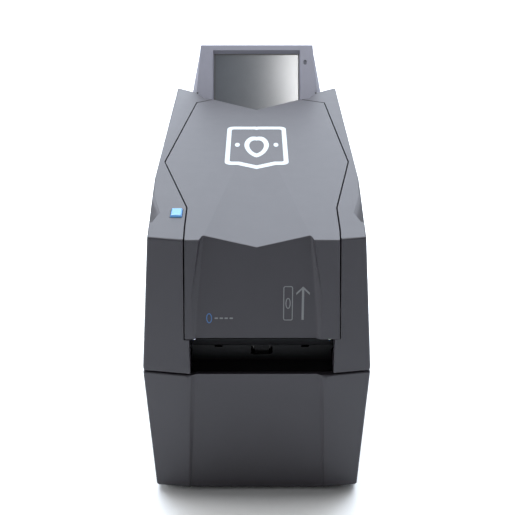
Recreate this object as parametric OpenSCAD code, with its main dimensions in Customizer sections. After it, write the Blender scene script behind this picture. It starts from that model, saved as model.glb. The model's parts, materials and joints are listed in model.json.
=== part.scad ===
// Desktop bill validator: a narrow tower with a note slot at the front, a transport path that
// runs straight through to the back, a hinged lid over the path and a tilting screen.
// Inside from_front(), x is measured from the centre line, y from the front face backwards and
// z from the table. The finished part has its origin at the middle of its footprint, on the table.

/* [Body] */
// Width of the housing at its parting line
body_w = 137.6; // [134:0.2:142]
// Depth of the housing from the front face to the rear wall
body_d = 264; // [262:1:268]
// Height of the parting line between the lower and upper housing
seam_z = 93; // [92:0.5:94]
// Height of the top edge at the front
top_z = 179.7; // [178:0.1:182]
// Slope of the top face, rising to the back, in degrees
top_slope = 5; // [4.5:0.1:5.5]
// Wall thickness of the mouldings
wall = 2.6; // [2.2:0.1:3]
// Gap between neighbouring mouldings
gap = 0.8; // [0.6:0.1:1]
// Height of the rubber feet
foot_h = 4.5; // [4:0.1:5]

/* [Note path] */
// Width of the note slot
slot_w = 86; // [84:0.5:86]
// Sideways offset of the note path from the centre line
path_x = 3.1; // [2.8:0.1:3.4]
// Height of the note bed
bed_z = 104; // [103.5:0.1:104.5]
// Free height between the note bed and the upper guide
path_h = 2; // [1.8:0.1:2.4]
// Radius of the driven rollers
feed_r = 9; // [8.5:0.1:9.5]
// Radius of the pressure rollers in the lid
pinch_r = 6; // [5.5:0.1:6.5]
// Free gap between a driven roller and its pressure roller
nip = 0.3; // [0.2:0.05:0.5]

/* [Screen] */
// Lean of the screen back from upright, in degrees
lean = 30; // [28:1:32]
// Height of the screen unit above the point where it passes the housing top
screen_up = 40.1; // [39:0.1:41]
// Width of the picture area
view_w = 70.1; // [69:0.1:71]
// Height of the picture area
view_h = 52.6; // [52:0.1:53]

/* [Button] */
// Travel of the release button
press = 2.5; // [2:0.1:3]

/* [Hidden] */

smooth = 64;
skin = 0.5;                       // how far a cutter runs past the face that it opens
half_w = body_w / 2;
base_z = 3.5;                     // lower edge of the housing, over the feet
front_y = 6;                      // where the top face meets the front face
slot_x0 = path_x - slot_w / 2;
slot_x1 = path_x + slot_w / 2;
lid_edge_z = 117.6;               // lower edge of the lid's front panel
ear_y = 262;                      // rear end of the two raised side rails
shelf_z = 170;                    // floor of the well that the screen stands in
skirt = 12;                       // depth of the lid's skirt
deck_drop = 14.5;                 // depth of the deck under the lid, below the top face

// The lid's outline seen from above, as gap centre lines, from the front left corner round
// the back to the front right corner. It is wider on the right of the note path.
lid_left = [[-40.8, front_y], [-41.5, 20], [-42, 45.5], [-61.8, 112], [-47.9, 226.5], [-34.8, 234.4]];
lid_right = [[34.8, 234.4], [54.1, 226.2], [61.8, 112], [48.2, 45], [47.7, 18], [46.9, front_y]];
lid_notch = [0, 210.8];
front_run = 30;                   // how far the outline is carried past the front face

// Well for the screen, seen from above: the diagonal inner edges of the two ears
well = [[-66.6, 262.4], [-50.4, 250.4], [-42.1, 236.3], [-34.8, 233.5],
        [34.8, 233.5], [42.1, 236.3], [50.4, 250.4], [66.6, 262.4], [66.6, 275], [-66.6, 275]];

// Lid hinge and screen hinge, as y and z
hinge_y = 237;
hinge_z = 194;
pin_r = 1.5;
run_gap = 0.05;                   // radial running clearance
screen_y = 251;
screen_z = 201.2;
tilt_local = [9, -18];            // depth behind and height along the screen's face
tilt_pin_r = 3;
screen_down = 26;                 // screen unit below the housing top
shell_t = 10;                     // thickness of the screen unit at its top edge
overall_d = screen_y + screen_up * sin(lean) + shell_t * cos(lean);

// Transport
shaft_r = 3;
front_roll_y = 30;
rear_roll_y = 172;
feed_z = bed_z + 0.7 - feed_r;
pinch_z = bed_z + 0.7 + nip + pinch_r;
pinch_shaft_r = 2;
roll_xs = [path_x - 26.5, path_x, path_x + 26.5];
frame_t = 1.5;
frame_xl = -46;
frame_xr = 50.5;
motor_y = 104;
motor_z = 58;
pulley_r = 9;
motor_pulley_r = 6;
belt_t = 1.2;
belt_x = -56;
belt_w = 6;
cheek_xl = -38.8;                 // outer faces of the lid frame's two cheeks
cheek_xr = 45;
tub_xl = -43.9;
tub_xr = 48.4;
tub_t = 1.5;
tub_y0 = 17;
tub_y1 = 222;
guide_y0 = 20;
guide_y1 = 216;

// Button and latch, centred on the button
button_x = -47.5;
button_y = 37.8;
button_w = 6.8;
button_l = 10;
stem = 4;
bolt_z = 156;
bolt_h = 10;
latch_y0 = 33;
latch_l = 10;

function top_at(y) = top_z + (y - front_y) * tan(top_slope);
function on_top(p, drop = 0) = [p[0], p[1], top_at(p[1]) - drop];
function both(points) = concat(points, [for (p = points) [-p[0], p[1], p[2]]]);

module from_front() translate([0, -overall_d / 2, 0]) children();

// Convex solid through a list of corner points
module convex(points) {
    hull() polyhedron(points = points, faces = [for (i = [0:len(points) - 3]) [i, i + 1, i + 2]]);
}

// Layer that runs parallel to the top face, from drop to drop + thick below it
module top_layer(drop, thick) {
    translate([0, front_y, top_z]) rotate([top_slope, 0, 0])
        translate([-100, -80, -drop - thick]) cube([200, 400, thick]);
}

module box(low, high) translate(low) cube(high - low);

// Cylinder along x from x0 to x1
module rod_x(x0, x1, y, z, r) translate([x0, y, z]) rotate([0, 90, 0]) cylinder(r = r, h = x1 - x0, $fn = smooth);

// Tube along x
module ring_x(x0, x1, y, z, r, hole) {
    difference() {
        rod_x(x0, x1, y, z, r);
        rod_x(x0 - skin, x1 + skin, y, z, hole);
    }
}

/* ---- lower housing ---- */

module base_outer(inset = 0) {
    convex(both([
        [half_w - inset, 4.5 + inset, seam_z], [40.5, inset, seam_z], [half_w - inset, body_d - inset, seam_z],
        [65.5 - inset, 5.6 + inset, base_z], [44, 3 + inset, base_z], [65.5 - inset, body_d - 2 - inset, base_z]]));
}

module base_recess() {
    convex(both([
        [36.3, 1.9, seam_z + 1], [43, 4, base_z - 1],
        [41, -1.2, seam_z + 1], [46.1, 1.2, base_z - 1]]));
}

module base_housing() color([0.28, 0.28, 0.31]) from_front() {
    difference() {
        base_outer();
        convex(both([
            [half_w - wall, 4.5 + wall, seam_z + 1], [38, 1.4 + wall, seam_z + 1], [half_w - wall, body_d - wall, seam_z + 1],
            [65.5 - wall, 5.6 + wall, base_z - 1], [40, 4.4 + wall, base_z - 1], [65.5 - wall, body_d - 2 - wall, base_z - 1]]));
        base_recess();
        // window for the connector panel
        box([-46, body_d - 8, 18], [46, body_d + 1, 78]);
        // row of cooling slots low on each side
        for (i = [0:6]) box([-80, 150 + i * 9, 22], [80, 154 + i * 9, 40]);
    }
    // inner tongue that laps the joint on three sides
    difference() {
        box([-65.9, 15, seam_z - 6], [65.9, 260.6, seam_z + 2.4]);
        box([-64.7, 14, seam_z - 7], [64.7, 259.4, seam_z + 3]);
    }
}

module bottom_plate() color([0.2, 0.2, 0.22]) from_front() {
    difference() {
        box([-61.5, 9.5, foot_h], [61.5, 258, foot_h + 1.5]);
        for (x = [-48, 48]) for (y = [32, 236]) translate([x, y, 0]) cylinder(r = 2.1, h = 10, $fn = smooth);
        for (i = [0:7]) box([-26, 80 + i * 10, 0], [26, 84 + i * 10, 10]);
    }
}

module rubber_foot(x, y) color([0.07, 0.07, 0.08]) from_front() translate([x, y, 0]) difference() {
    union() {
        cylinder(r1 = 9, r2 = 10, h = 1.5, $fn = smooth);
        translate([0, 0, 1.5]) cylinder(r = 10, h = foot_h - 1.5, $fn = smooth);
    }
    translate([0, 0, -skin]) cylinder(r = 2.1, h = foot_h + 1, $fn = smooth);
    translate([0, 0, -skin]) cylinder(r = 4.2, h = 2.5 + skin, $fn = smooth);
}

module foot_screw(x, y) color([0.6, 0.6, 0.62]) from_front() translate([x, y, 0]) difference() {
    union() {
        translate([0, 0, 1]) cylinder(r = 3.8, h = 1.5, $fn = smooth);
        translate([0, 0, 2.5]) cylinder(r = 2, h = 8, $fn = smooth);
    }
    box([-0.4, -5, 0.5], [0.4, 5, 1.6]);
}

module foot_front_left() rubber_foot(-48, 32);
module foot_front_right() rubber_foot(48, 32);
module foot_rear_left() rubber_foot(-48, 236);
module foot_rear_right() rubber_foot(48, 236);
module foot_screw_front_left() foot_screw(-48, 32);
module foot_screw_front_right() foot_screw(48, 32);
module foot_screw_rear_left() foot_screw(-48, 236);
module foot_screw_rear_right() foot_screw(48, 236);

/* ---- upper housing ---- */

upper_z = seam_z + gap;

module upper_outer() {
    convex(both([
        [half_w, 4.5, upper_z], [40.5, 0.1, upper_z], [half_w, body_d, upper_z],
        on_top([61.8, 9.6]), on_top([40.8, front_y]), on_top([66, 88]), on_top([66, ear_y])]));
}

module upper_cavity() {
    convex(both([
        [half_w - wall, 14, upper_z - 1], [half_w - wall, body_d - wall, upper_z - 1],
        on_top([60, 14], wall), on_top([63.4, 88], wall), on_top([63.4, ear_y - wall], wall)]));
}

// Shallow scoop in the edge of a rail, behind the front shoulder
module shoulder_scoop() {
    convex([
        [65.4, 71, 185.2], [57.6, 38.4, 181.8], [61, 27, 180.2], [74, 71, 184.2], [74, 26, 176.5],
        [65.4, 72, 192], [57, 38.4, 192], [60.4, 26, 192], [74, 72, 192], [74, 24, 192]]);
}

// Plan of the hole in the housing that the lid lies in
module lid_opening_plan(grow = 0) {
    offset(delta = gap / 2 + grow)
        polygon(concat([[-40.8, -front_run]], lid_left, lid_right, [[46.9, -front_run]]));
}

module front_panel_opening() {
    convex([
        [-40.8 - gap / 2, front_y - front_run, top_z + 6], [46.9 + gap / 2, front_y - front_run, top_z + 6],
        [-42.7 - gap / 2, -front_run, lid_edge_z - gap], [49.2 + gap / 2, -front_run, lid_edge_z - gap],
        [-40.8 - gap / 2, 20, top_z + 6], [46.9 + gap / 2, 20, top_z + 6],
        [-42.7 - gap / 2, 20, lid_edge_z - gap], [49.2 + gap / 2, 20, lid_edge_z - gap]]);
}

module upper_housing() color([0.3, 0.3, 0.33]) from_front() difference() {
    union() {
        difference() {
            upper_outer();
            upper_cavity();
        }
        intersection() {
            upper_outer();
            union() {
                // collar round the lid, and the deck below it
                intersection() {
                    top_layer(0, deck_drop + 2);
                    linear_extrude(220) difference() {
                        lid_opening_plan(2);
                        lid_opening_plan();
                    }
                }
                intersection() {
                    top_layer(deck_drop, 2);
                    linear_extrude(220) lid_opening_plan(1);
                }
                // floor and front wall of the screen's well
                box([-66, tub_y1 + gap, shelf_z - 2.5], [66, body_d - 1, shelf_z]);
                box([-63, tub_y1 + gap, shelf_z - 2.5], [63, tub_y1 + gap + 2, 187]);
                // diagonal walls under the inner edges of the ears
                translate([0, 0, shelf_z - 2.5]) linear_extrude(60) difference() {
                    offset(delta = 2.2) polygon(well);
                    polygon(well);
                    translate([-40, 0]) square([80, 300]);
                }
                // bosses for the hinge pins
                for (side = [-1, 1]) {
                    x0 = side > 0 ? 55 : -54;
                    box([x0 - 2.5, hinge_y - 5, hinge_z - 6], [x0 + 2.5, hinge_y + 5, hinge_z + 6]);
                }
            }
        }
    }
    // lid, front panel and note slot
    intersection() {
        union() {
            top_layer(-30, 30 + deck_drop);
            box([-80, -40, lid_edge_z], [80, guide_y0, 200]);
        }
        linear_extrude(230) lid_opening_plan();
    }
    front_panel_opening();
    box([slot_x0, -20, 90], [slot_x1, 20, lid_edge_z - gap + skin]);
    // opening in the deck for the transport tub
    intersection() {
        top_layer(deck_drop - skin, 90);
        box([tub_xl - 0.3, 10, 90], [tub_xr + tub_t + 0.3, tub_y1 + 0.3, 196]);
    }
    // screen well
    translate([0, 0, shelf_z]) linear_extrude(60) polygon(well);
    for (side = [0, 1]) mirror([side, 0, 0]) shoulder_scoop();
    // release button
    box([button_x - button_w / 2 - 0.3, button_y - button_l / 2 - 0.3, 170],
        [button_x + button_w / 2 + 0.3, button_y + button_l / 2 + 0.3, 200]);
    // note exit
    box([slot_x0, 240, bed_z - 1], [slot_x1, 270, bed_z + 7.5]);
    // hinge pins
    rod_x(-60, 60, hinge_y, hinge_z, pin_r);
    // small grip notches on the rails near the back
    for (x = [-67.6, 67.6]) box([x - 1.2, 191, 193], [x + 1.2, 203, 205]);
}

/* ---- connectors at the back ---- */

panel_y = 257.9;                  // inner face of the connector panel
panel_t = 1.5;
inlet_x = -24;
inlet_z = 54;
rocker_x = -24;
rocker_y = 254.5;
rocker_z = 31;
rocker_w = 11.6;
rocker_rest = 9;                  // tilt of the rocker in its off position

module rear_panel() color([0.62, 0.63, 0.65]) from_front() difference() {
    box([-49, panel_y, 15], [49, panel_y + panel_t, 81]);
    box([inlet_x - 13.6, 250, 20.8], [inlet_x + 13.6, 270, 69.2]);
    box([9.8, 250, 50], [24.2, 270, 57.4]);
    box([28.8, 250, 44], [45.2, 270, 58]);
    // cooling slots
    for (i = [0:5]) box([8 + i * 6, 250, 22], [11 + i * 6, 270, 38]);
}

module power_inlet() color([0.06, 0.06, 0.07]) from_front() {
    difference() {
        union() {
            box([inlet_x - 15, panel_y + panel_t, 19], [inlet_x + 15, panel_y + panel_t + 2, 71]);
            box([inlet_x - 13.5, 236, 21], [inlet_x + 13.5, panel_y + panel_t, 69]);
        }
        // socket with two cut corners
        translate([inlet_x, 270, inlet_z]) rotate([90, 0, 0]) linear_extrude(26)
            polygon([[-12, -8.2], [12, -8.2], [12, 4.2], [8, 8.2], [-8, 8.2], [-12, 4.2]]);
        // seat of the rocker and the bores of its pivots
        box([rocker_x - rocker_w / 2 - 0.3, 245, rocker_z - 8], [rocker_x + rocker_w / 2 + 0.3, 270, rocker_z + 8]);
        rod_x(rocker_x - 8, rocker_x + 8, rocker_y, rocker_z, 1 + run_gap);
    }
    // contact blades
    for (x = [-7, 0, 7]) box([inlet_x + x - 1, 244, inlet_z - 2 - (x == 0 ? -3 : 1)],
        [inlet_x + x + 1, 257, inlet_z + 2 - (x == 0 ? -3 : 1)]);
}

module power_rocker() color([0.75, 0.12, 0.1]) from_front() {
    translate([rocker_x - rocker_w / 2, rocker_y, rocker_z]) rotate([-rocker_rest, 0, 0])
        rotate([90, 0, 90]) linear_extrude(rocker_w)
            polygon([[-3, -5.8], [6.2, -6.6], [4.8, 0], [6.2, 6.6], [-3, 5.8]]);
    rod_x(rocker_x - 7.4, rocker_x + 7.4, rocker_y, rocker_z, 1);
}

module usb_port() color([0.75, 0.76, 0.78]) from_front() {
    difference() {
        box([10, 245, 50.2], [24, 260.4, 57.2]);
        box([10.7, 247, 50.9], [23.3, 262, 56.5]);
    }
    box([11.4, 246, 52.4], [22.6, 259, 54]);
}

module network_port() color([0.75, 0.76, 0.78]) from_front() difference() {
    box([29, 243, 44.2], [45, 260.4, 57.8]);
    box([31, 247, 47.5], [43, 262, 56]);
    box([34, 247, 45.5], [40, 262, 48]);
}

/* ---- chassis inside ---- */

module side_frame(x) difference() {
    box([x, 22, 9], [x + frame_t, 224, 160]);
    for (y = [front_roll_y, rear_roll_y]) rod_x(x - 1, x + 3, y, feed_z, 5);
    // relief over the latch bolt
    box([x - 1, latch_y0 - 0.5, bolt_z - 0.5], [x + 3, latch_y0 + latch_l + 0.5, 170]);
    // lightening holes
    for (y = [70, 140]) rod_x(x - 1, x + 3, y, 132, 12);
    for (y = [60, 200]) rod_x(x - 1, x + 3, y, 34, 10);
}

module side_frame_left() color([0.66, 0.67, 0.69]) from_front() difference() {
    side_frame(frame_xl);
    rod_x(frame_xl - 1, frame_xl + 3, motor_y, motor_z, 11.1);
}

module side_frame_right() color([0.66, 0.67, 0.69]) from_front() side_frame(frame_xr);

module tie_bar(y) color([0.7, 0.71, 0.73]) from_front() rod_x(frame_xl + frame_t, frame_xr, y, 74, 4);
module tie_bar_front() tie_bar(60);
module tie_bar_rear() tie_bar(204);

module drive_motor() color([0.13, 0.13, 0.14]) from_front() difference() {
    union() {
        translate([frame_xl + frame_t, motor_y, motor_z]) rotate([90, 0, 90]) linear_extrude(34)
            polygon([for (q = [0:3]) for (c = [[21, -17], [21, 17]])
                [c[0] * cos(90 * q) - c[1] * sin(90 * q), c[0] * sin(90 * q) + c[1] * cos(90 * q)]]);
        rod_x(frame_xl - 0.5, frame_xl + frame_t, motor_y, motor_z, 11);
    }
    rod_x(frame_xl - 2, frame_xl + 14, motor_y, motor_z, 2.5 + run_gap);
}

// Toothless pulley with two flanges
module pulley(y, z, r) {
    rod_x(belt_x - 0.6, belt_x + belt_w + 0.6, y, z, r);
    for (x = [belt_x - 1.6, belt_x + belt_w + 0.6]) rod_x(x, x + 1, y, z, r + 1.8);
}

module motor_pulley() color([0.72, 0.62, 0.35]) from_front() {
    pulley(motor_y, motor_z, motor_pulley_r);
    rod_x(belt_x - 3, frame_xl + 13, motor_y, motor_z, 2.5);
}

module belt_plan(extra) hull() {
    translate([front_roll_y, feed_z]) circle(r = pulley_r + extra, $fn = smooth);
    translate([rear_roll_y, feed_z]) circle(r = pulley_r + extra, $fn = smooth);
    translate([motor_y, motor_z]) circle(r = motor_pulley_r + extra, $fn = smooth);
}

module drive_belt() color([0.05, 0.05, 0.05]) from_front() translate([belt_x, 0, 0])
    rotate([90, 0, 90]) linear_extrude(belt_w) difference() {
        belt_plan(0.1 + belt_t);
        belt_plan(0.1);
    }

module feed_shaft(y) color([0.78, 0.79, 0.8]) from_front() {
    rod_x(belt_x - 3, frame_xr + 3, y, feed_z, shaft_r);
    pulley(y, feed_z, pulley_r);
    for (i = [0:2]) rod_x(roll_xs[i] - tyre_w(i) / 2 - 1, roll_xs[i] + tyre_w(i) / 2 + 1, y, feed_z, feed_r - 3);
}

function tyre_w(i) = i == 1 ? 8.7 : 12;

module feed_tyres(y) color([0.55, 0.56, 0.57]) from_front() for (i = [0:2])
    ring_x(roll_xs[i] - tyre_w(i) / 2, roll_xs[i] + tyre_w(i) / 2, y, feed_z, feed_r, feed_r - 3);

module feed_shaft_front() feed_shaft(front_roll_y);
module feed_shaft_rear() feed_shaft(rear_roll_y);
module feed_tyres_front() feed_tyres(front_roll_y);
module feed_tyres_rear() feed_tyres(rear_roll_y);

module shaft_bushings() color([0.7, 0.55, 0.3]) from_front() for (y = [front_roll_y, rear_roll_y]) {
    ring_x(frame_xl, frame_xl + frame_t + 0.4, y, feed_z, 5, shaft_r + run_gap);
    ring_x(frame_xl - 1, frame_xl, y, feed_z, 7, shaft_r + run_gap);
    ring_x(frame_xr, frame_xr + frame_t, y, feed_z, 5, shaft_r + run_gap);
    ring_x(frame_xr + frame_t, frame_xr + frame_t + 1, y, feed_z, 7, shaft_r + run_gap);
}

module inlet_tray() color([0.09, 0.09, 0.1]) from_front() {
    translate([0, 0, seam_z - 2]) linear_extrude(2)
        polygon([[slot_x0 + 0.3, 8], [-37, 4.6], [37, 4.6], [slot_x1 - 0.3, 8],
                 [slot_x1 - 0.3, tub_y0 - 0.2], [slot_x0 + 0.3, tub_y0 - 0.2]]);
}

// Rows of rectangular cut-outs over one roller shaft
module roller_windows(y, half_l, low, high) for (i = [0:2])
    box([roll_xs[i] - tyre_w(i) / 2 - 1.6, y - half_l, low], [roll_xs[i] + tyre_w(i) / 2 + 1.6, y + half_l, high]);

module window_hole(low, high) box([path_x - 38, 92, low], [path_x + 38, 128, high]);

module note_bed() color([0.1, 0.1, 0.11]) from_front() difference() {
    intersection() {
        top_layer(deck_drop, 200);
        union() {
            box([tub_xl, tub_y0, bed_z - 2.4], [tub_xr + tub_t, tub_y1, bed_z]);
            box([tub_xl, tub_y0, bed_z - 2.4], [tub_xl + tub_t, tub_y1, 200]);
            box([tub_xr, tub_y0, bed_z - 2.4], [tub_xr + tub_t, tub_y1, 200]);
            box([tub_xl, tub_y1 - tub_t, bed_z + 7], [tub_xr + tub_t, tub_y1, 200]);
            // lip behind the tray
            box([slot_x0, tub_y0, seam_z - 2], [slot_x1, tub_y0 + tub_t, bed_z]);
        }
    }
    for (y = [front_roll_y, rear_roll_y]) roller_windows(y, feed_r + 1, 90, bed_z + 1);
    window_hole(90, bed_z + 1);
    // notches in the lip in front of the rollers
    box([path_x - 6.6, 10, 97.2], [path_x + 6.6, 22, bed_z + 1]);
    for (x = [roll_xs[0], roll_xs[2]]) box([x - 2.4, 10, 102.6], [x + 2.4, 22, bed_z + 1]);
    // way for the latch bolt
    box([tub_xl - 1, latch_y0 - 0.5, bolt_z - 0.5], [tub_xl + tub_t + 1, latch_y0 + latch_l + 0.5, 200]);
}

module exit_guide() color([0.1, 0.1, 0.11]) from_front() difference() {
    box([slot_x0 - 1.5, tub_y1 + gap, bed_z - 2.4], [slot_x1 + 1.5, 260.8, bed_z + 7.5]);
    box([slot_x0 + 0.2, 200, bed_z], [slot_x1 - 0.2, 270, bed_z + 5.5]);
}

module lower_window() color([0.2, 0.22, 0.26]) from_front()
    box([path_x - 37.8, 92.2, bed_z - 1.6], [path_x + 37.8, 127.8, bed_z - 0.2]);

module sensor_board(z) color([0.08, 0.35, 0.2]) from_front() {
    box([path_x - 36, 94, z], [path_x + 36, 126, z + 1.6]);
    for (i = [0:7]) box([path_x - 33 + i * 9, 108, z + 1.6], [path_x - 29 + i * 9, 112, z + 3]);
}
module lower_sensor_board() sensor_board(96);
module upper_sensor_board() sensor_board(bed_z + path_h + 6);

module main_board() color([0.08, 0.32, 0.2]) from_front() {
    box([-44, 30, 14], [44, 140, 15.6]);
    for (p = [[-30, 50, 14], [0, 60, 20], [26, 112, 12]]) translate([p[0], p[1], 15.6]) cube([p[2], p[2], 2]);
    for (x = [-40, 40]) for (y = [34, 136]) translate([x, y, foot_h + 1.5]) cylinder(r = 3, h = 14 - foot_h - 1.5, $fn = smooth);
}

module power_supply() color([0.7, 0.71, 0.73]) from_front() difference() {
    box([-38, 156, foot_h + 1.5], [40, 232, 42]);
    for (i = [0:7]) box([-34 + i * 9, 160, 40], [-30 + i * 9, 228, 43]);
}

/* ---- lid ---- */

module lid_plan(inset = 0) {
    offset(delta = -gap / 2 - inset) polygon(concat(lid_left, [lid_notch], lid_right));
}

recess_top = [30, 11.2];
valley_apex_y = 179.5;
valley_tip = [10.3, 173.3];       // y and z of the valley's low point, in the recessed panel

// One side of the shallow valley in the lid's top
module valley_half(lift) {
    apex = on_top([0, valley_apex_y]);
    corner = on_top(recess_top);
    tip = [0, valley_tip[0], valley_tip[1]];
    corner_out = corner + 0.05 * (corner - apex);
    tip_out = tip + 0.05 * (tip - apex);
    up = [0, 0, lift];
    convex([apex, corner_out, tip_out, apex + up, corner_out + up, tip_out + up]);
}

// Bevel under a rear edge of the lid, from a to b, that lets the edge swing past the ear behind it
module rear_undercut(a, b) {
    along = (b - a) / norm(b - a);
    inward = [along[1], -along[0]];
    ends = [a - 4 * along, b + 4 * along];
    convex([for (e = ends) each [
        on_top(e + inward * gap / 2, 0.3), on_top(e + inward * (gap / 2 + 3), 3.3),
        on_top(e - inward * 2, 3.3), on_top(e - inward * 2, 0.3)]]);
}

module recess_cut() {
    convex(both([
        [29.2, 12.5, 190], [35.4, 2, 110.4], [33.6, -3.5, 190], [44, -3.5, 110.4]]));
}

module lid_cover() color([0.3, 0.3, 0.33]) from_front() difference() {
    union() {
        intersection() {
            top_layer(0, wall);
            linear_extrude(230) lid_plan();
        }
        intersection() {
            top_layer(0, skirt);
            box([-80, 0, 150], [80, tub_y1, 230]);
            linear_extrude(230) difference() {
                lid_plan();
                lid_plan(2);
            }
        }
        // thicker skin under the valley
        intersection() {
            top_layer(0, 30);
            convex(both([
                [0.1, valley_apex_y, top_at(valley_apex_y) - wall], [31, 11, top_z - 2 - wall],
                [0.1, 10, valley_tip[1] - wall], [31, 11, top_z + 4], [0.1, valley_apex_y, top_at(valley_apex_y)]]));
        }
        // front panel
        convex([
            [-40.8 + gap / 2, front_y, top_z], [46.9 - gap / 2, front_y, top_z],
            [-42.7 + gap / 2, 1.5, lid_edge_z], [49.2 - gap / 2, 1.5, lid_edge_z],
            [-40.8 + gap / 2, 14.6, top_at(14.6)], [46.9 - gap / 2, 14.6, top_at(14.6)],
            [-42.7 + gap / 2, 5.8, lid_edge_z], [49.2 - gap / 2, 5.8, lid_edge_z]]);
    }
    valley_half(40);
    mirror([1, 0, 0]) valley_half(40);
    recess_cut();
    rear_undercut(lid_left[4], lid_left[5]);
    rear_undercut(lid_right[0], lid_right[1]);
}

// Sheet box that carries the upper guide under the lid
module lid_frame() color([0.66, 0.67, 0.69]) from_front() difference() {
    intersection() {
        top_layer(12, 200);
        difference() {
            box([cheek_xl, guide_y0, bed_z + path_h + 2], [cheek_xr, guide_y1, 200]);
            box([cheek_xl + frame_t, guide_y0 + frame_t, 0], [cheek_xr - frame_t, guide_y1 - frame_t, 230]);
        }
    }
    for (y = [front_roll_y, rear_roll_y]) rod_x(cheek_xl - 1, cheek_xr + 1, y, pinch_z, pinch_shaft_r + run_gap);
    // keeper window for the latch bolt
    box([cheek_xl - 1, latch_y0 - 0.5, bolt_z - 0.3], [cheek_xl + 3, latch_y0 + latch_l + 0.5, bolt_z + bolt_h + 2]);
}

module upper_guide() color([0.1, 0.1, 0.11]) from_front() difference() {
    translate([slot_x0 + 0.4, 0, 0]) rotate([90, 0, 90]) linear_extrude(slot_w - 0.8)
        polygon([[9, 113.2], [14, bed_z + path_h], [guide_y1, bed_z + path_h],
                 [guide_y1, bed_z + path_h + 2], [14.8, bed_z + path_h + 2], [10.2, 114.6]]);
    for (y = [front_roll_y, rear_roll_y]) roller_windows(y, pinch_r + 1, 100, 112);
    window_hole(100, 112);
}

module upper_window() color([0.2, 0.22, 0.26]) from_front()
    box([path_x - 37.8, 92.2, bed_z + path_h + 0.2], [path_x + 37.8, 127.8, bed_z + path_h + 1.6]);

module pinch_roller(y) color([0.12, 0.12, 0.13]) from_front() {
    rod_x(cheek_xl - 0.6, cheek_xr + 0.6, y, pinch_z, pinch_shaft_r);
    for (i = [0:2]) rod_x(roll_xs[i] - tyre_w(i) / 2, roll_xs[i] + tyre_w(i) / 2, y, pinch_z, pinch_r);
}
module pinch_roller_front() pinch_roller(front_roll_y);
module pinch_roller_rear() pinch_roller(rear_roll_y);

arm_x0 = 28;
arm_x1 = 34;
light_pin_h = 0.8;

module hinge_arm(side) color([0.66, 0.67, 0.69]) from_front() mirror([side < 0 ? 1 : 0, 0, 0]) difference() {
    union() {
        box([arm_x0, guide_y1, 176], [arm_x1, guide_y1 + 2.5, 194]);
        box([arm_x0, guide_y1, 190.5], [arm_x1, hinge_y, 195]);
        rod_x(arm_x0, arm_x1, hinge_y, hinge_z, 3);
    }
    rod_x(20, 50, hinge_y, hinge_z, pin_r + run_gap);
}
module hinge_arm_left() hinge_arm(-1);
module hinge_arm_right() hinge_arm(1);

module hinge_pin_left() color([0.78, 0.79, 0.8]) from_front() rod_x(-57, -arm_x0, hinge_y, hinge_z, pin_r);
module hinge_pin_right() color([0.78, 0.79, 0.8]) from_front() rod_x(arm_x0, 57, hinge_y, hinge_z, pin_r);

module light_pin(x) color([0.92, 0.93, 0.94]) from_front() translate([x, 3.4, lid_edge_z - light_pin_h])
    cylinder(r = 0.9, h = light_pin_h, $fn = smooth);
module light_pin_left() light_pin(-36.8);
module light_pin_right() light_pin(43);

/* ---- release button and latch ---- */

stem_x = -48.4;
stem_low = bolt_z + 6;            // lowest point of the stem's wedge
flange_z = 177;

module release_button() color([0.45, 0.72, 0.95]) from_front() {
    x0 = button_x - button_w / 2;
    x1 = button_x + button_w / 2;
    y0 = button_y - button_l / 2;
    y1 = button_y + button_l / 2;
    convex([
        [x0, y0, flange_z], [x1, y0, flange_z], [x1, y1, flange_z], [x0, y1, flange_z],
        on_top([x0, y0], -0.2), on_top([x1, y0], -0.2), on_top([x1, y1], -0.2), on_top([x0, y1], -0.2),
        on_top([x0 + 0.7, y0 + 0.9], -1.2), on_top([x1 - 0.7, y0 + 0.9], -1.2),
        on_top([x1 - 0.7, y1 - 0.5], -1.2), on_top([x0 + 0.7, y1 - 0.5], -1.2)]);
    // retaining flange under the skin
    box([x0 - 1.4, y0 - 1.2, flange_z], [x1 - 0.4, y1 + 1.2, flange_z + 1.6]);
    // stem with a wedge that drives the latch bolt
    translate([0, button_y + stem / 2, 0]) rotate([90, 0, 0]) linear_extrude(stem)
        polygon([[stem_x - stem / 2, flange_z], [stem_x - stem / 2, stem_low + stem],
                 [stem_x + stem / 2, stem_low], [stem_x + stem / 2, flange_z]]);
}

spring_z0 = bolt_z + bolt_h + 2.4;
spring_turns = 5;
wire = 0.4;
spring_r = 3.5;

// Ring of points round the wire at one place along the coil
function coil_ring(t, sides) = [for (k = [0:sides - 1])
    let (a = 360 * k / sides, r = spring_r + wire * cos(a))
        [r * cos(360 * t), r * sin(360 * t),
         wire + t / spring_turns * (flange_z - spring_z0 - 2 * wire - 0.1) + wire * sin(a)]];

module button_spring() color([0.75, 0.76, 0.78]) from_front() translate([stem_x, button_y, spring_z0]) {
    sides = 8;
    rings = spring_turns * 14;
    points = [for (i = [0:rings]) each coil_ring(i * spring_turns / rings, sides)];
    walls = [for (i = [0:rings - 1]) for (k = [0:sides - 1])
        [i * sides + k, i * sides + (k + 1) % sides, (i + 1) * sides + (k + 1) % sides, (i + 1) * sides + k]];
    polyhedron(points = points, faces = concat(
        [[for (k = [0:sides - 1]) sides - 1 - k]], walls, [[for (k = [0:sides - 1]) rings * sides + k]]));
}

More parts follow.
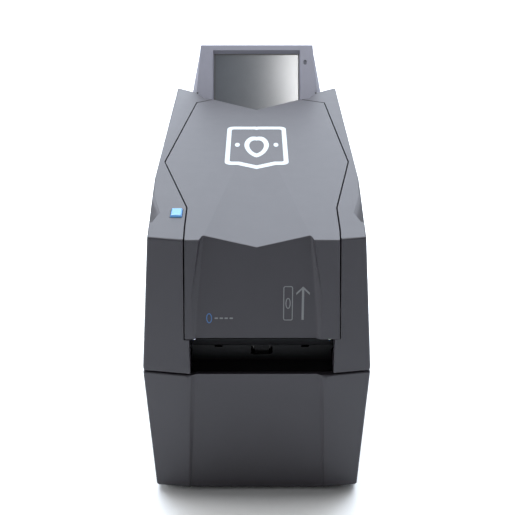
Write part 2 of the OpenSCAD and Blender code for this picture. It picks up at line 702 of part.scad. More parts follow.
module latch_bolt() color([0.85, 0.85, 0.83]) from_front() difference() {
    box([-58.4, latch_y0, bolt_z], [slot_x0 + 0.2, latch_y0 + latch_l, bolt_z + bolt_h]);
    // pocket with the ramp that the wedge slides on
    translate([0, button_y + stem / 2 + 0.2, 0]) rotate([90, 0, 0]) linear_extrude(stem + 0.4)
        polygon([[stem_x - stem / 2 - 0.1, bolt_z + 14], [stem_x - stem / 2 - 0.1, stem_low + stem - 0.1],
                 [stem_x + stem / 2 + press + 0.2, stem_low - press - 0.4],
                 [stem_x + stem / 2 + press + 0.2, bolt_z + 14]]);
    // lower nose
    box([-44, 20, bolt_z + 7.5], [-30, 60, bolt_z + 14]);
}

module latch_guide() color([0.12, 0.12, 0.13]) from_front() difference() {
    box([-58, latch_y0 - 2.5, bolt_z - 2.5], [frame_xl - 0.1, latch_y0 + latch_l + 2.5, bolt_z + bolt_h + 2.3]);
    box([-70, latch_y0 - 0.1, bolt_z - 0.1], [-30, latch_y0 + latch_l + 0.1, bolt_z + bolt_h + 0.1]);
    box([stem_x - stem / 2 - 0.2, button_y - stem / 2 - 0.2, bolt_z + 4],
        [stem_x + stem / 2 + 0.2, button_y + stem / 2 + 0.2, bolt_z + 16]);
}

/* ---- screen unit: x, depth behind the face, height along the face ---- */

module on_screen() from_front() translate([0, screen_y, screen_z]) rotate([-lean, 0, 0]) children();

view_top = screen_up - 7.5;
view_low = view_top - view_h;
bezel_t = 3.5;
face_plan = [[-46.5, screen_up], [46.5, screen_up], [50, 0], [41.6, -screen_down], [-41.6, -screen_down], [-50, 0]];
led_x = 40.1;
led_z = screen_up - 14.9;

// Upright extrusion of a face outline, from depth y0 to y1
module slab_behind(y0, y1) translate([0, y1, 0]) rotate([90, 0, 0]) linear_extrude(y1 - y0) children();

module oval(grow) {
    square([2.6 + grow * 2, 1.3], center = true);
    for (s = [-1, 1]) translate([0, s * 0.65]) circle(r = 1.3 + grow, $fn = smooth);
}

module screen_bezel() color([0.56, 0.57, 0.61]) on_screen() difference() {
    slab_behind(0, bezel_t) polygon(face_plan);
    // window with sloped borders
    convex([
        [-view_w / 2 - 1.2, -0.1, view_top + 2.9], [view_w / 2 + 1, -0.1, view_top + 2.9],
        [-view_w / 2 - 1.2, -0.1, view_low - 1.2], [view_w / 2 + 1, -0.1, view_low - 1.2],
        [-view_w / 2, 2.5, view_top], [view_w / 2, 2.5, view_top],
        [-view_w / 2, 2.5, view_low], [view_w / 2, 2.5, view_low]]);
    // seat of the panel
    box([-38.2, 2.2, view_low - 2.4], [38.2, 5, view_top + 3.4]);
    translate([led_x, 0, led_z]) slab_behind(-1, 5) oval(0.1);
    for (x = [-48.7, 48.7]) translate([x, 0, -0.6]) slab_behind(-1, 1.5) circle(r = 0.7, $fn = smooth);
}

module screen_shell() color([0.56, 0.57, 0.61]) on_screen() difference() {
    union() {
        convex(both([
            [46.3, bezel_t, screen_up - 0.1], [49.8, bezel_t, -0.1], [47, bezel_t, -8],
            [46.9, shell_t, screen_up], [55, 15, 0], [52, 16, -8]]));
        convex(both([
            [41.5, bezel_t, -screen_down], [41.5, 12, -screen_down], [41.5, 20, -16], [41.5, 20, -6], [41.5, bezel_t, -6]]));
    }
    convex(both([
        [44.4, bezel_t - 1, screen_up - 2.2], [47.6, bezel_t - 1, -0.1], [45, bezel_t - 1, -5.8],
        [44.6, shell_t - 2.2, screen_up - 2.2], [52.4, 12.8, 0], [50, 13.8, -5.8]]));
    convex(both([
        [39.2, bezel_t - 1, -screen_down + 2.2], [39.2, 11.2, -screen_down + 2.2], [39.2, 17.8, -15.4],
        [39.2, 17.8, -9], [39.2, 13.4, -5], [39.2, bezel_t - 1, -4]]));
    rod_x(-60, 60, tilt_local[0], tilt_local[1], tilt_pin_r);
    // cable entry at the back
    box([-8, 10, -20], [8, 30, -12]);
}

module screen_panel() color([0.42, 0.44, 0.47]) on_screen()
    box([-38, 2.2, view_low - 2.2], [38, 6, view_top + 3.2]);

module screen_board() color([0.08, 0.32, 0.2]) on_screen()
    box([-34, 7.5, -19], [34, 9.1, 16]);

module status_led() color([0.3, 0.31, 0.34]) on_screen() translate([led_x, 0, led_z]) slab_behind(0.5, bezel_t) oval(0);

module tilt_pins() color([0.78, 0.79, 0.8]) on_screen() for (x = [-47, 38.5])
    rod_x(x, x + 8.5, tilt_local[0], tilt_local[1], tilt_pin_r);

tilt_y = screen_y + tilt_local[0] * cos(lean) + tilt_local[1] * sin(lean);
tilt_z = screen_z - tilt_local[0] * sin(lean) + tilt_local[1] * cos(lean);

module tilt_bracket(side) color([0.2, 0.2, 0.22]) from_front() mirror([side < 0 ? 1 : 0, 0, 0]) difference() {
    union() {
        rod_x(44.2, 47, tilt_y, tilt_z, 4.5);
        box([44.2, tilt_y - 3.6, shelf_z], [47, tilt_y + 4.5, tilt_z]);
    }
    rod_x(40, 50, tilt_y, tilt_z, tilt_pin_r + run_gap);
}
module tilt_bracket_left() tilt_bracket(-1);
module tilt_bracket_right() tilt_bracket(1);

base_housing();
bottom_plate();
foot_front_left();
foot_front_right();
foot_rear_left();
foot_rear_right();
foot_screw_front_left();
foot_screw_front_right();
foot_screw_rear_left();
foot_screw_rear_right();
upper_housing();
rear_panel();
power_inlet();
usb_port();
network_port();
power_rocker();
side_frame_left();
side_frame_right();
tie_bar_front();
tie_bar_rear();
inlet_tray();
note_bed();
exit_guide();
lower_window();
lower_sensor_board();
drive_motor();
motor_pulley();
drive_belt();
main_board();
power_supply();
feed_shaft_front();
feed_tyres_front();
feed_shaft_rear();
feed_tyres_rear();
shaft_bushings();
lid_cover();
lid_frame();
upper_guide();
upper_window();
upper_sensor_board();
hinge_arm_left();
hinge_arm_right();
hinge_pin_left();
hinge_pin_right();
light_pin_left();
light_pin_right();
pinch_roller_front();
pinch_roller_rear();
release_button();
button_spring();
latch_bolt();
latch_guide();
screen_bezel();
screen_shell();
screen_panel();
screen_board();
status_led();
tilt_pins();
tilt_bracket_left();
tilt_bracket_right();
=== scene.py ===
"""Looks of a desktop bill validator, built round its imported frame.

Lengths are in metres in the row frame: x to the right, y from the note slot to the back and z up
from the table. MM turns millimetres into metres.
"""

import json
import math

import bmesh
import bpy
from mathutils import Matrix, Vector


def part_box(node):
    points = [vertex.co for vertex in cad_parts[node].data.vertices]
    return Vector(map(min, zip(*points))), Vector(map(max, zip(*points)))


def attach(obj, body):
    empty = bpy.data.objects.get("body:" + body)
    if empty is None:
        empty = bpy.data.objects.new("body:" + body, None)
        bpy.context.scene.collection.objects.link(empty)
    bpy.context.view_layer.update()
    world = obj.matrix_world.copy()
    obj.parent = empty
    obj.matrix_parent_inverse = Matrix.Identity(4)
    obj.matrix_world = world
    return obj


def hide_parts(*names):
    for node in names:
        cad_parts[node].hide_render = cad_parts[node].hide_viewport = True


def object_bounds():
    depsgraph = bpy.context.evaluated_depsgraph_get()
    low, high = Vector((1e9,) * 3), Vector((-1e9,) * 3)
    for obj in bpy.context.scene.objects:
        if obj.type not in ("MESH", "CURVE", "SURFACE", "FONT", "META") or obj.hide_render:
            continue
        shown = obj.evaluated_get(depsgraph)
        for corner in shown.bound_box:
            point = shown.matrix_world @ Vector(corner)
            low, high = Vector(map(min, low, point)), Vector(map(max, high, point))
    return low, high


MM = 0.001
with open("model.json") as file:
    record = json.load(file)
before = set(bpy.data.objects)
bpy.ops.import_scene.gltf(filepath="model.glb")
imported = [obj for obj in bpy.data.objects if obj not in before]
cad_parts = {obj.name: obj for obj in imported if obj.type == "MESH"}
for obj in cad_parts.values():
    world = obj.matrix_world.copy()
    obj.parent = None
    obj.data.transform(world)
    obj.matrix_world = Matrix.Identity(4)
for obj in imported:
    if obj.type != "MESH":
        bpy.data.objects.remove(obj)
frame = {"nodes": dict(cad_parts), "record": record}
cad_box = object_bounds()
nodes = frame["nodes"]
body_of = {n: body for body, names in frame["record"]["behaviour"]["bodies"].items() for n in names}
slot_of = {row["node"]: row["material_slot"] for row in frame["record"]["subparts"]}
FRONT = cad_box[0].y


# ---- materials ----


def put(tree, kind, settings=None, **inputs):
    """Adds a shader node. A socket given as a value is set, and one given as an output is linked."""
    node = tree.nodes.new(kind)
    for key, value in (settings or {}).items():
        setattr(node, key, value)
    for key, value in inputs.items():
        socket = node.inputs[key.replace("_", " ")]
        if isinstance(value, bpy.types.NodeSocket):
            tree.links.new(value, socket)
        else:
            socket.default_value = value
    return node


def noise(tree, place, size, detail=3.0, roughness=0.55):
    """Noise of the given grain size in metres."""
    return put(tree, "ShaderNodeTexNoise", Vector=place, Scale=1 / size, Detail=detail,
               Roughness=roughness).outputs["Fac"]


def spread(tree, value, low, high, start=0.3, end=0.7):
    """Maps a noise value onto the range from low to high."""
    return put(tree, "ShaderNodeMapRange", Value=value, From_Min=start, From_Max=end, To_Min=low,
               To_Max=high).outputs["Result"]


COLOR_A, COLOR_B, COLOR_OUT = 6, 7, 2    # places of the colour sockets on a mix node


def mixed(tree, factor, first, second):
    """A colour between first and second."""
    node = put(tree, "ShaderNodeMix", {"data_type": "RGBA"})
    tree.links.new(factor, node.inputs["Factor"])
    for socket, value in ((node.inputs[COLOR_A], first), (node.inputs[COLOR_B], second)):
        if isinstance(value, bpy.types.NodeSocket):
            tree.links.new(value, socket)
        else:
            socket.default_value = value
    return node.outputs[COLOR_OUT]


def shade(color, share):
    """The colour made darker or lighter by a share, with full opacity."""
    return [min(1.0, c * share) for c in color[:3]] + [1.0]


def finish(name, color, rough, grain=0.3 * MM, depth=0.01 * MM, mottle=0.06, patch=9 * MM,
           rough_spread=0.05, stretch=(1, 1, 1), strength=0.5, **shader):
    """Base for every finish: slight cloudy variation of colour and gloss, and a fine grain in relief."""
    material = bpy.data.materials.new(name)
    material.use_nodes = True
    tree = material.node_tree
    bsdf = tree.nodes["Principled BSDF"]
    coordinates = put(tree, "ShaderNodeTexCoord").outputs["Object"]
    place = put(tree, "ShaderNodeMapping", Vector=coordinates, Scale=stretch).outputs["Vector"]
    cloud = noise(tree, place, patch)
    fine = noise(tree, place, grain, detail=2.0)
    tint = mixed(tree, spread(tree, cloud, 0, 1), shade(color, 1 - mottle), shade(color, 1 + mottle))
    speck = mixed(tree, spread(tree, fine, 0, 1), shade([1, 1, 1], 1 - mottle), [1, 1, 1, 1])
    blend = put(tree, "ShaderNodeMix", {"data_type": "RGBA", "blend_type": "MULTIPLY"})
    blend.inputs["Factor"].default_value = 1.0
    tree.links.new(tint, blend.inputs[COLOR_A])
    tree.links.new(speck, blend.inputs[COLOR_B])
    tree.links.new(blend.outputs[COLOR_OUT], bsdf.inputs["Base Color"])
    gloss = spread(tree, cloud, rough - rough_spread, rough + rough_spread)
    tree.links.new(gloss, bsdf.inputs["Roughness"])
    bump = put(tree, "ShaderNodeBump", Height=fine, Strength=strength, Distance=depth)
    tree.links.new(bump.outputs["Normal"], bsdf.inputs["Normal"])
    for key, value in shader.items():
        bsdf.inputs[key.replace("_", " ")].default_value = value
    return material


def board_finish(name):
    """Green solder mask with the faint lighter lines of copper tracks."""
    material = finish(name, (0.012, 0.085, 0.035), 0.32, grain=0.5 * MM, Coat_Weight=0.3)
    tree = material.node_tree
    bsdf = tree.nodes["Principled BSDF"]
    coordinates = put(tree, "ShaderNodeTexCoord").outputs["Object"]
    cells = put(tree, "ShaderNodeTexBrick", {"offset": 0.5}, Vector=coordinates, Scale=1.0,
                Mortar_Size=0.35 * MM, Brick_Width=5.2 * MM, Row_Height=1.6 * MM)
    cells.inputs["Color1"].default_value = (0.010, 0.075, 0.030, 1)
    cells.inputs["Color2"].default_value = (0.013, 0.095, 0.040, 1)
    cells.inputs["Mortar"].default_value = (0.035, 0.190, 0.085, 1)
    tree.links.new(cells.outputs["Color"], bsdf.inputs["Base Color"])
    return material


def tyre_finish(name):
    """Grey rubber with fine ribs along the roller."""
    material = finish(name, (0.045, 0.045, 0.047), 0.75, grain=0.4 * MM, depth=0.02 * MM)
    tree = material.node_tree
    bsdf = tree.nodes["Principled BSDF"]
    coordinates = put(tree, "ShaderNodeTexCoord").outputs["Object"]
    ribs = put(tree, "ShaderNodeTexWave", {"bands_direction": "X"}, Vector=coordinates, Scale=160.0,
               Distortion=0.0)
    bump = put(tree, "ShaderNodeBump", Height=ribs.outputs["Fac"], Strength=0.6, Distance=0.15 * MM)
    tree.links.new(bump.outputs["Normal"], bsdf.inputs["Normal"])
    return material


ALONG_Z = (1, 1, 0.04)            # stretches a grain along z, as rolling leaves it in sheet metal
ALONG_X = (0.05, 1, 1)            # stretches a grain along x, as grinding leaves it on a shaft
SLOTS = {
    "housing_plastic": finish("housing_plastic", (0.0265, 0.0238, 0.0306), 0.52, grain=0.35 * MM,
                              depth=0.02 * MM, mottle=0.025, rough_spread=0.015),
    "bezel_plastic": finish("bezel_plastic", (0.205, 0.208, 0.250), 0.55, grain=0.35 * MM,
                            depth=0.02 * MM, mottle=0.03, Specular_IOR_Level=0.3),
    "black_plastic": finish("black_plastic", (0.014, 0.014, 0.016), 0.5, depth=0.02 * MM),
    "path_plastic": finish("path_plastic", (0.006, 0.006, 0.007), 0.55, grain=0.8 * MM,
                           Specular_IOR_Level=0.25),
    "black_steel": finish("black_steel", (0.020, 0.020, 0.022), 0.42, grain=0.5 * MM, depth=0.03 * MM,
                          Coat_Weight=0.25, Coat_Roughness=0.3),
    "sheet_steel": finish("sheet_steel", (0.19, 0.195, 0.205), 0.36, grain=0.25 * MM, mottle=0.1,
                          patch=4 * MM, stretch=ALONG_Z, rough_spread=0.1, Metallic=1.0),
    "port_shell": finish("port_shell", (0.58, 0.58, 0.60), 0.22, grain=0.3 * MM, Metallic=1.0),
    "bright_steel": finish("bright_steel", (0.36, 0.365, 0.375), 0.2, grain=0.12 * MM, patch=2 * MM,
                           stretch=ALONG_X, rough_spread=0.08, Metallic=1.0),
    "brass": finish("brass", (0.62, 0.44, 0.19), 0.26, grain=0.12 * MM, patch=2 * MM, Metallic=1.0),
    "foot_rubber": finish("foot_rubber", (0.012, 0.012, 0.013), 0.8, grain=0.5 * MM, depth=0.05 * MM),
    "belt_rubber": finish("belt_rubber", (0.011, 0.011, 0.011), 0.65, grain=0.4 * MM, depth=0.05 * MM),
    "tyre_rubber": tyre_finish("tyre_rubber"),
    "sensor_glass": finish("sensor_glass", (0.018, 0.022, 0.032), 0.06, grain=2 * MM, depth=0.002 * MM,
                           rough_spread=0.02, Coat_Weight=1.0, Coat_Roughness=0.03),
    "circuit_board": board_finish("circuit_board"),
    "rocker_plastic": finish("rocker_plastic", (0.42, 0.018, 0.014), 0.25, grain=1 * MM,
                             depth=0.005 * MM),
    "light_guide": finish("light_guide", (0.80, 0.82, 0.84), 0.25, grain=1 * MM, depth=0.004 * MM,
                          Subsurface_Weight=0.3, Subsurface_Scale=2 * MM),
    "button_plastic": finish("button_plastic", (0.075, 0.25, 0.52), 0.35, grain=0.5 * MM,
                             depth=0.008 * MM, mottle=0.02, Subsurface_Weight=0.15,
                             Subsurface_Scale=2 * MM),
    "latch_plastic": finish("latch_plastic", (0.55, 0.55, 0.52), 0.45, grain=0.6 * MM),
    "screen_glass": finish("screen_glass", (0.075, 0.082, 0.094), 0.16, grain=3 * MM,
                           depth=0.001 * MM, mottle=0.02, rough_spread=0.01),
    "led_lens": finish("led_lens", (0.075, 0.080, 0.098), 0.45, grain=1 * MM, depth=0.002 * MM,
                       Specular_IOR_Level=0.25),
}
PRINT = finish("pale_print", (0.36, 0.40, 0.42), 0.5, grain=0.4 * MM, depth=0.006 * MM, mottle=0.03)
GREY_PRINT = finish("grey_print", (0.17, 0.175, 0.18), 0.5, grain=0.4 * MM, depth=0.006 * MM,
                    mottle=0.03)
BLUE_PRINT = finish("blue_print", (0.03, 0.13, 0.34), 0.45, grain=0.4 * MM, depth=0.006 * MM)


def dress(piece, material):
    """Gives a piece one material."""
    piece.data.materials.clear()
    piece.data.materials.append(material)


# ---- shapes ----


def clean_mesh(node):
    """A working copy of a CAD node, with its flat faces whole again."""
    bm = bmesh.new()
    bm.from_mesh(nodes[node].data)
    bmesh.ops.remove_doubles(bm, verts=bm.verts, dist=0.001 * MM)
    flatten(bm)
    return bm


def flatten(bm, degrees=0.3):
    """Joins neighbouring faces that lie within a small angle of each other."""
    bmesh.ops.dissolve_limit(bm, angle_limit=math.radians(degrees), verts=bm.verts, edges=bm.edges)


def new_piece(name, bm):
    """A new object in the scene from a mesh in work, which is used up."""
    mesh = bpy.data.meshes.new(name)
    bmesh.ops.recalc_face_normals(bm, faces=bm.faces)
    bm.to_mesh(mesh)
    bm.free()
    piece = bpy.data.objects.new(name, mesh)
    bpy.context.scene.collection.objects.link(piece)
    return piece


def apply_modifiers(piece):
    """Bakes a piece's modifiers into its mesh."""
    graph = bpy.context.evaluated_depsgraph_get()
    mesh = bpy.data.meshes.new_from_object(piece.evaluated_get(graph))
    piece.modifiers.clear()
    piece.data = mesh


def smooth(piece, degrees=32):
    """Smooth shading between small facets, with flat faces kept flat."""
    for polygon in piece.data.polygons:
        polygon.use_smooth = True
    piece.data.set_sharp_from_angle(angle=math.radians(degrees))
    normals = piece.modifiers.new("normals", "WEIGHTED_NORMAL")
    normals.keep_sharp = True


def settle(piece, body, slot, material=None):
    """Rides a piece on a body and dresses it in its slot's finish, unless told otherwise."""
    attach(piece, body)
    dress(piece, material or SLOTS[slot])


def stand_for(piece, node):
    """Rides a refined piece on its node's body and shows it in the node's place."""
    settle(piece, body_of[node], slot_of[node])
    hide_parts(node)


def rounded_hull(node, radius):
    """The node's convex outline with rounded edges."""
    bm = bmesh.new()
    bm.from_mesh(nodes[node].data)
    hull = bmesh.ops.convex_hull(bm, input=bm.verts)
    bmesh.ops.delete(bm, geom=hull["geom_interior"] + hull["geom_unused"], context="VERTS")
    loose = [f for f in bm.faces if f not in set(hull["geom"])]
    bmesh.ops.delete(bm, geom=loose, context="FACES_ONLY")
    flatten(bm, 1.5)
    bmesh.ops.bevel(bm, geom=bm.edges[:], offset=radius, segments=4, profile=0.5,
                    affect="EDGES", clamp_overlap=True)
    return new_piece(node + "_outline", bm)


def cut(piece, tool, operation, overlapping=False):
    """Cuts a piece with a tool, which is used up. The piece's own solids may overlap where it says so."""
    modifier = piece.modifiers.new("cut", "BOOLEAN")
    modifier.operation = operation
    modifier.solver = "EXACT"
    modifier.use_self = overlapping
    modifier.object = tool
    apply_modifiers(piece)
    bpy.data.objects.remove(tool)


def rounded_shell(node, radius):
    """The node with the edges of its outer form rounded, and its openings as they are."""
    piece = new_piece(node + "_moulding", clean_mesh(node))
    cut(piece, rounded_hull(node, radius), "INTERSECT")
    stand_for(piece, node)
    smooth(piece)


def turn_of(edge):
    """Angle over an edge, positive where the solid bulges."""
    return math.degrees(edge.calc_face_angle_signed(0.0))


def bevelled(node, groups):
    """The node with chosen edges rounded: groups holds pairs of a test on an edge and a radius."""
    bm = clean_mesh(node)
    for wanted, radius in groups:
        bm.normal_update()
        edges = [e for e in bm.edges if e.is_manifold and wanted(e)]
        bmesh.ops.bevel(bm, geom=edges, offset=radius, segments=3, profile=0.5, affect="EDGES",
                        clamp_overlap=False)
    piece = new_piece(node + "_moulding", bm)
    stand_for(piece, node)
    smooth(piece)
    return piece


FACING = 0.7                      # least share of a face's normal that counts as facing a way
FRONT_WALL = 14 * MM              # depth from the front face that holds all of the lid's front wall


def on_show(face):
    """True for the lid's top and front faces."""
    in_front = face.calc_center_median().y < FRONT + FRONT_WALL
    return face.normal.z > FACING or (face.normal.y < -FACING and in_front)


def seen_edge(edge):
    """True for a bulging edge between two faces on show."""
    return turn_of(edge) > 12 and all(on_show(f) for f in edge.link_faces)


def rim_edge(edge):
    """True for a bulging edge, not a tiny one, where a face on show ends."""
    ends_show = sum(on_show(f) for f in edge.link_faces) == 1
    return turn_of(edge) > 25 and ends_show and edge.calc_length() > MM


BUTTON_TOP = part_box("release_button")[1].z
BUTTON_CAP = 3 * MM               # height of the button's cap, the only part whose edges show


def cap_edge(edge):
    """True for a bulging edge of the button's cap."""
    return turn_of(edge) > 15 and min(v.co.z for v in edge.verts) > BUTTON_TOP - BUTTON_CAP


for shell_node, shell_radius in (("base_housing", 1.1), ("upper_housing", 1.1)):
    rounded_shell(shell_node, shell_radius * MM)
lid = bevelled("lid_cover", [(seen_edge, 0.45 * MM), (rim_edge, 0.3 * MM)])
for shell_node, shell_radius in (("screen_bezel", 1.0), ("screen_shell", 1.5)):
    rounded_shell(shell_node, shell_radius * MM)
bevelled("release_button", [(cap_edge, 0.25 * MM)])

# Radius of the broken edges on the smaller parts, in millimetres
EDGES = {
    "power_inlet": 0.3, "power_rocker": 0.4, "rear_panel": 0.12, "usb_port": 0.12, "network_port": 0.15,
    "note_bed": 0.2, "exit_guide": 0.2, "inlet_tray": 0.2, "upper_guide": 0.15, "lid_frame": 0.15,
    "side_frame_left": 0.15, "side_frame_right": 0.15, "hinge_arm_left": 0.25, "hinge_arm_right": 0.25,
    "latch_bolt": 0.3, "latch_guide": 0.2, "tilt_bracket_left": 0.25, "tilt_bracket_right": 0.25,
    "drive_motor": 0.5, "power_supply": 0.4, "bottom_plate": 0.2, "tie_bar_front": 0.3, "tie_bar_rear": 0.3,
}
for edge_node, edge_radius in EDGES.items():
    bevelled(edge_node, [(lambda edge: turn_of(edge) > 40, edge_radius * MM)])


# ---- printed marks, painted shade at the screen and small fasteners ----


def rounded_box(center, half, radius, steps=5):
    """Outline of a rectangle with round corners, as points in order."""
    corners = [(1, 1), (-1, 1), (-1, -1), (1, -1)]
    points = []
    for quarter, (sx, sy) in enumerate(corners):
        for step in range(steps + 1):
            turn = math.radians(90 * (quarter + step / steps))
            points.append((center[0] + sx * (half[0] - radius) + radius * math.cos(turn),
                           center[1] + sy * (half[1] - radius) + radius * math.sin(turn)))
    return points


def oval(center, half, steps=40):
    """Outline of an oval, as points in order."""
    turns = [2 * math.pi * step / steps for step in range(steps)]
    return [(center[0] + half[0] * math.cos(t), center[1] + half[1] * math.sin(t)) for t in turns]


def prism(bm, outline, hole, near, far):
    """Closed prism between two depths, with a hole whose outline has as many points or none."""
    rings = [[bm.verts.new(depth(*point)) for point in ring]
             for depth in (near, far) for ring in (outline, hole) if ring]
    if hole:
        near_out, near_in, far_out, far_in = rings
        pairs = [(near_out, far_out), (near_in, far_in), (near_out, near_in), (far_out, far_in)]
    else:
        pairs = [rings]
        for ring in rings:
            bm.faces.new(ring)
    for first, second in pairs:
        for i in range(len(outline)):
            j = (i + 1) % len(outline)
            bm.faces.new((first[i], first[j], second[j], second[i]))


def printed(name, shapes, near, far, lift, material, slot):
    """Thin print that follows the lid's surface: prisms through it, cut to the lid moved out by lift."""
    bm = bmesh.new()
    for outline, hole in shapes:
        prism(bm, outline, hole, near, far)
    piece = new_piece(name, bm)
    raised = bpy.data.objects.new("raised", lid.data.copy())
    raised.location = lift
    bpy.context.scene.collection.objects.link(raised)
    bpy.context.view_layer.update()
    cut(piece, raised, "INTERSECT")
    settle(piece, "lid", slot, material)


INK = 0.06 * MM                   # how far a print stands out of the moulding


def on_lid(height):
    """Maps a plan point in millimetres from the front face to a height in the frame."""
    return lambda x, y: (x * MM, FRONT + y * MM, height)


def on_front(depth):
    """Maps a point of the front view in millimetres to a depth behind the front face."""
    return lambda x, z: (x * MM, FRONT + depth, z * MM)


# Banknote pictogram on the lid: a frame, an oval medallion and two dots
NOTE_CENTER = (0, 141)
note_sign = [(rounded_box(NOTE_CENTER, (21.5, 34), 4.5), rounded_box(NOTE_CENTER, (18.3, 28.8), 1.8)),
             (oval(NOTE_CENTER, (8.6, 16.5)), oval(NOTE_CENTER, (5.2, 10.5)))]
note_sign += [(oval((side * 13.6, NOTE_CENTER[1]), (1.7, 3.4)), None) for side in (-1, 1)]
SIGN_REACH = 80 * MM              # from the top of the machine to below the lid's surface
printed("lid_sign", note_sign, on_lid(cad_box[1].z - SIGN_REACH), on_lid(cad_box[1].z), (0, 0, INK),
        PRINT, "light_guide")

# Feeding sign on the recessed panel: a note on edge and an arrow that points the way in
sheet, sheet_half, line = (18.2, 139.4), (2.8, 10.6), 0.55
portrait_half = (1.5, 3.4)
arrow_x, arrow_low, arrow_tip, wing, thick = 26.8, 129.2, 149.8, 3.9, 0.65


def inset(half):
    """Half sizes of an outline one line's width further in."""
    return [h - line for h in half]


arrow = [(arrow_x - thick, arrow_low), (arrow_x + thick, arrow_low),
         (arrow_x + thick, arrow_tip - 3 * thick), (arrow_x + wing, arrow_tip - wing - 2 * thick),
         (arrow_x + wing, arrow_tip - wing), (arrow_x, arrow_tip), (arrow_x - wing, arrow_tip - wing),
         (arrow_x - wing, arrow_tip - wing - 2 * thick), (arrow_x - thick, arrow_tip - 3 * thick)]
feed_sign = [(rounded_box(sheet, sheet_half, 1.2), rounded_box(sheet, inset(sheet_half), 0.65)),
             (oval(sheet, portrait_half), oval(sheet, inset(portrait_half))), (arrow, None)]
SIGN_START = on_front(-4 * MM)    # before the panel. Each sign's other depth is inside the front wall.
printed("feed_sign", feed_sign, SIGN_START, on_front(11 * MM), (0, -INK, 0), GREY_PRINT, "light_guide")

# Small ring and a row of dashes low on the left of the recessed panel
ring, ring_half = (-27.8, 130.2), (1.7, 3.1)
dash_x, dash_pitch, dash_half = -23.6, 2.9, (1.0, 0.45)
ring_sign = [(oval(ring, ring_half), oval(ring, inset(ring_half)))]
dash_sign = [(rounded_box((dash_x + dash_pitch * step, ring[1]), dash_half, 0.3), None) for step in range(4)]
for sign, shapes, ink, slot in (("ring_sign", ring_sign, BLUE_PRINT, "button_plastic"),
                                ("dash_sign", dash_sign, GREY_PRINT, "light_guide")):
    printed(sign, shapes, SIGN_START, on_front(7 * MM), (0, -INK, 0), ink, slot)

# Black border round the picture area, painted shade of the gap between bezel and glass, seen as a fine line
# inside the bezel
panel = nodes["screen_panel"].data
glass = max(panel.polygons, key=lambda f: f.area if f.normal.y < -0.5 else 0)
glass_x = Vector((1, 0, 0))
glass_z = glass.normal.cross(glass_x)
glass_points = [panel.vertices[v].co for v in glass.vertices]
glass_x0, glass_x1 = [pick(p.x for p in glass_points) for pick in (min, max)]
glass_z0, glass_z1 = [pick(p.dot(glass_z) for p in glass_points) for pick in (min, max)]
glass_level = glass.center.dot(glass.normal)
LIP_SIDE, LIP_TOP, LIP_LOW = 2.95 * MM, 3.2 * MM, 2.2 * MM    # cover of the bezel over the panel
BORDER = 0.75 * MM


def on_glass(rise):
    """Maps x and height along the glass, in millimetres, to a place that rises from it."""
    return lambda x, z: glass_x * (x * MM) + glass_z * (z * MM) + glass.normal * (glass_level + rise)


BORDER_TUCK = 0.3                 # how far the border runs in under the bezel, in millimetres
border_middle = ((glass_x0 + glass_x1) / 2 / MM, (glass_z0 + LIP_LOW + glass_z1 - LIP_TOP) / 2 / MM)
border_half = ((glass_x1 - glass_x0) / 2 / MM - LIP_SIDE / MM,
               (glass_z1 - glass_z0 - LIP_TOP - LIP_LOW) / 2 / MM)
border_out = rounded_box(border_middle, [h + BORDER_TUCK for h in border_half], 0.2)
border_in = rounded_box(border_middle, [h - BORDER / MM for h in border_half], 0.2)
border_mesh = bmesh.new()
prism(border_mesh, border_out, border_in, on_glass(0.04 * MM), on_glass(-0.1 * MM))
settle(new_piece("painted_gap_shade", border_mesh), "screen", "black_plastic")


# Outlines of turned pieces from the top down, in shares of the radius and the height
DOME = [(0.45, 0.96), (0.8, 0.7), (0.97, 0.3), (1.0, 0.0)]
PLUG = [(0.7, 1.0), (1.0, 0.85), (1.0, 0.0)]


def turned(bm, place, axis, radius, height, profile, sides=32):
    """Adds a closed turned disc that stands on a place and rises along an axis square to x."""
    across = Vector((1, 0, 0))
    along = across.cross(axis)
    rings = []
    for share, rise in profile:
        middle = place + axis * (rise * height)
        rings.append([bm.verts.new(middle + (across * math.cos(t) + along * math.sin(t)) * (share * radius))
                      for t in [2 * math.pi * k / sides for k in range(sides)]])
    bm.faces.new(rings[0])
    for first, second in zip(rings, rings[1:]):
        for k in range(sides):
            bm.faces.new((first[k], first[k - 1], second[k - 1], second[k]))
    bm.faces.new(rings[-1])


# Dark plugs in the two small holes of the bezel, each standing on the floor of its hole: painted shade that
# makes the holes look dark inside
bezel_faces = nodes["screen_bezel"].data.polygons
bezel_level = max(f.center.dot(glass.normal) for f in bezel_faces)
HOLES_BEYOND = 47 * MM            # the small holes lie further out than this
PLUG_RADIUS, PLUG_HEIGHT = 0.66 * MM, 1.35 * MM


def in_hole(face, side):
    """True for a face of the floor of the small hole on one side, 1 to 2 mm behind the bezel's front."""
    level, outward = face.normal.dot(glass.normal) > 0.99, side * face.center.x
    return level and outward > HOLES_BEYOND and MM < bezel_level - face.center.dot(glass.normal) < 2 * MM


def hole_floor(side):
    """Mean of the floor's face centres, which is close to the middle of the hole."""
    found = [f.center for f in bezel_faces if in_hole(f, side)]
    return sum(found, Vector()) / len(found)


hole_shade_mesh = bmesh.new()
for side in (-1, 1):
    turned(hole_shade_mesh, hole_floor(side), glass.normal, PLUG_RADIUS, PLUG_HEIGHT, PLUG)
hole_shades = new_piece("painted_hole_shade", hole_shade_mesh)
smooth(hole_shades, 40)
settle(hole_shades, "screen", "black_plastic")


CROSS_LONG, CROSS_WIDE, CROSS_DEEP = 1.25, 0.3, 0.9    # shares of a head's radius and height


